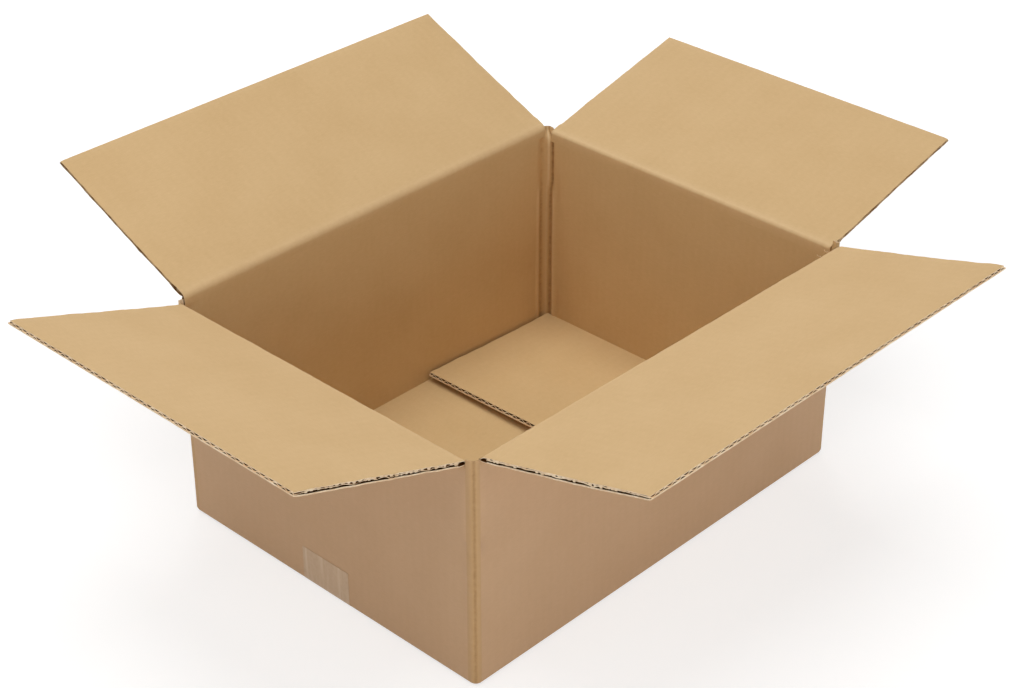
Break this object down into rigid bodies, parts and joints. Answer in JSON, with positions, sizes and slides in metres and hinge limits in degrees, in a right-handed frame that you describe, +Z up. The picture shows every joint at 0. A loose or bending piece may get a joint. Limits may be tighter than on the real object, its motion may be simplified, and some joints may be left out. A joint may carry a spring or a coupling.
{
  "type": "open cardboard box",
  "caption": "Low rectangular shipping carton of single-wall corrugated board with hinged top flaps folded open and a taped bottom.",
  "frame": {"origin": "under the middle of the box, on the surface it stands on, at the seam tape's underside", "axes": "+Z up, +X along the long walls, -Y is the front wall and -X the left wall"},
  "size_m": [0.7086, 0.598, 0.2571],
  "materials": {
    "board": "matte kraft",
    "fluted_board": "matte kraft",
    "tape": "clear film"
  },
  "bodies": {
    "box": {"carton": "board", "seam_tape": "tape"},
    "front_leaf": {"front_flap": "fluted_board"},
    "back_leaf": {"back_flap": "fluted_board"},
    "left_leaf": {"left_flap": "fluted_board"},
    "right_leaf": {"right_flap": "fluted_board"}
  },
  "joints": [
    {"name": "front_hinge", "type": "hinge", "parent": "box", "child": "front_leaf", "pos_m": [0, -0.154, 0.193], "axis": [1, 0, 0], "range_deg": [-164.6, 60.4]},
    {"name": "back_hinge", "type": "hinge", "parent": "box", "child": "back_leaf", "pos_m": [0, 0.154, 0.193], "axis": [-1, 0, 0], "range_deg": [-156.1, 68.9]},
    {"name": "left_hinge", "type": "hinge", "parent": "box", "child": "left_leaf", "pos_m": [-0.202, 0, 0.1887], "axis": [0, -1, 0], "range_deg": [-161.9, 63.1]},
    {"name": "right_hinge", "type": "hinge", "parent": "box", "child": "right_leaf", "pos_m": [0.202, 0, 0.1887], "axis": [0, 1, 0], "range_deg": [-166, 59]}
  ]
}
